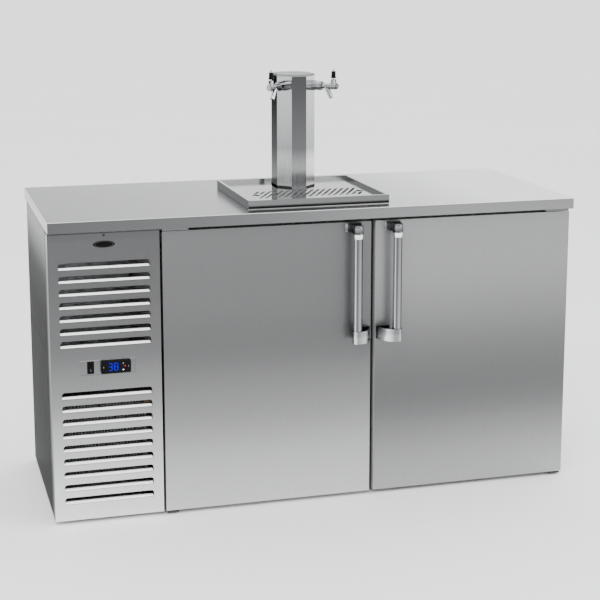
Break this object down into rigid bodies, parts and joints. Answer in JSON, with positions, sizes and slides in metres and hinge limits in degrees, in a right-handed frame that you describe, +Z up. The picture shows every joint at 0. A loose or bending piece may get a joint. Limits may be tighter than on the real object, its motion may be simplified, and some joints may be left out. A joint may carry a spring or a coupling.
{
  "type": "draft beer cooler",
  "caption": "Two-door stainless keg cooler with a louvred machine bay, a flat worktop, a drip tray and an octagonal tower with pull taps.",
  "frame": {"origin": "on the floor under the middle of the object's box, which reaches from the handles to the worktop's rear edge", "axes": "+X to the right along the worktop, +Y to the back, +Z up"},
  "size_m": [1.524, 0.663, 1.2244],
  "materials": {
    "brushed_stainless": "brushed",
    "polished_stainless": "polished",
    "chrome_plate": "bright",
    "galvanised_sheet": "satin",
    "fin_aluminium": "satin",
    "black_plastic": "gloss",
    "black_matt_plastic": "matt",
    "grey_plastic": "matt",
    "white_plastic": "satin",
    "foam": "matt",
    "black_rubber": "matt",
    "black_enamel": "gloss",
    "copper_pipe": "satin",
    "brass": "satin",
    "display_glass": "gloss"
  },
  "bodies": {
    "cabinet": {"worktop": "brushed_stainless", "left_side_lower": "brushed_stainless", "left_side_upper": "brushed_stainless", "right_side_panel": "brushed_stainless", "louvre_panel": "brushed_stainless", "upper_hinges": "brushed_stainless", "control_plate": "brushed_stainless", "tower_column": "polished_stainless", "tower_cap": "polished_stainless", "tower_base_ring": "polished_stainless", "drip_tray": "polished_stainless", "tray_drain": "polished_stainless", "product_tubes": "polished_stainless", "shanks": "chrome_plate", "coupling_nuts": "chrome_plate", "faucet_bodies": "chrome_plate", "faucet_bonnets": "chrome_plate", "base_tray": "galvanised_sheet", "back_panel": "galvanised_sheet", "condenser_coil": "fin_aluminium", "evaporator_coil": "fin_aluminium", "inner_liner": "fin_aluminium", "evaporator_cover": "fin_aluminium", "badge_plate": "black_plastic", "controller_housing": "black_plastic", "switch_housing": "black_matt_plastic", "cord_gland": "black_matt_plastic", "door_frame": "grey_plastic", "foam_walls": "foam", "tray_seals": "black_rubber", "levelling_feet": "black_rubber", "compressor": "black_enamel", "fan_motor": "black_enamel", "lower_hinges": "black_enamel", "copper_lines": "copper_pipe", "display_window": "display_glass"},
    "left_door": {"left_door_skin": "brushed_stainless", "left_door_liner": "white_plastic", "left_door_gasket": "black_rubber", "left_grip": "polished_stainless", "left_handle_head": "chrome_plate", "left_handle_foot": "chrome_plate"},
    "right_door": {"right_door_skin": "brushed_stainless", "right_door_liner": "white_plastic", "right_door_gasket": "black_rubber", "right_grip": "polished_stainless", "right_handle_head": "chrome_plate", "right_handle_foot": "chrome_plate"},
    "left_tap_lever": {"left_lever": "chrome_plate", "left_knob": "black_plastic"},
    "right_tap_lever": {"right_lever": "chrome_plate", "right_knob": "black_plastic"},
    "left_tap_plunger": {"left_plunger": "brass"},
    "right_tap_plunger": {"right_plunger": "brass"},
    "power_rocker": {"switch_rocker": "black_matt_plastic"},
    "left_control_key": {"left_key": "black_matt_plastic"},
    "right_control_key": {"right_key": "black_matt_plastic"},
    "condenser_fan_wheel": {"condenser_fan": "fin_aluminium"},
    "evaporator_fan_wheel": {"evaporator_fan": "black_matt_plastic"},
    "grate": {"drip_grate": "polished_stainless"}
  },
  "joints": [
    {"name": "left_door_swing", "type": "hinge", "parent": "cabinet", "child": "left_door", "pos_m": [-0.4305, -0.2605, 0.41], "axis": [0, 0, -1], "range_deg": [0, 110]},
    {"name": "right_door_swing", "type": "hinge", "parent": "cabinet", "child": "right_door", "pos_m": [0.742, -0.2605, 0.41], "axis": [0, 0, 1], "range_deg": [0, 110]},
    {"name": "left_lever_pull", "type": "hinge", "parent": "cabinet", "child": "left_tap_lever", "pos_m": [-0.0794, -0.03425, 1.1844], "axis": [0.7071, -0.7071, 0], "range_deg": [0, 30]},
    {"name": "right_lever_pull", "type": "hinge", "parent": "cabinet", "child": "right_tap_lever", "pos_m": [0.1094, -0.03425, 1.1844], "axis": [0.7071, 0.7071, 0], "range_deg": [0, 30]},
    {"name": "left_plunger_slide", "type": "slide", "parent": "cabinet", "child": "left_tap_plunger", "axis": [-0.7071, -0.7071, 0], "range_m": [-0.006, 0]},
    {"name": "right_plunger_slide", "type": "slide", "parent": "cabinet", "child": "right_tap_plunger", "axis": [0.7071, -0.7071, 0], "range_m": [-0.006, 0]},
    {"name": "rocker_tilt", "type": "hinge", "parent": "cabinet", "child": "power_rocker", "pos_m": [-0.653, -0.2708, 0.4445], "axis": [1, 0, 0], "range_deg": [-8, 8]},
    {"name": "left_key_press", "type": "slide", "parent": "cabinet", "child": "left_control_key", "axis": [0, 1, 0], "range_m": [0, 0.0008], "stiffness_N_per_m": 400},
    {"name": "right_key_press", "type": "slide", "parent": "cabinet", "child": "right_control_key", "axis": [0, 1, 0], "range_m": [0, 0.0008], "stiffness_N_per_m": 400},
    {"name": "condenser_fan_spin", "type": "hinge", "parent": "cabinet", "child": "condenser_fan_wheel", "pos_m": [-0.609, -0.111, 0.189], "axis": [0, 1, 0], "continuous": true},
    {"name": "evaporator_fan_spin", "type": "hinge", "parent": "cabinet", "child": "evaporator_fan_wheel", "pos_m": [-0.3425, 0.015, 0.678], "axis": [1, 0, 0], "continuous": true},
    {"name": "grate_lift", "type": "slide", "parent": "cabinet", "child": "grate", "axis": [0, 0, 1], "range_m": [0, 0.06]}
  ],
  "couplings": [
    {"joint": "left_plunger_slide", "follows": "left_lever_pull", "m_per_rad": -0.011},
    {"joint": "right_plunger_slide", "follows": "right_lever_pull", "m_per_rad": -0.011}
  ]
}
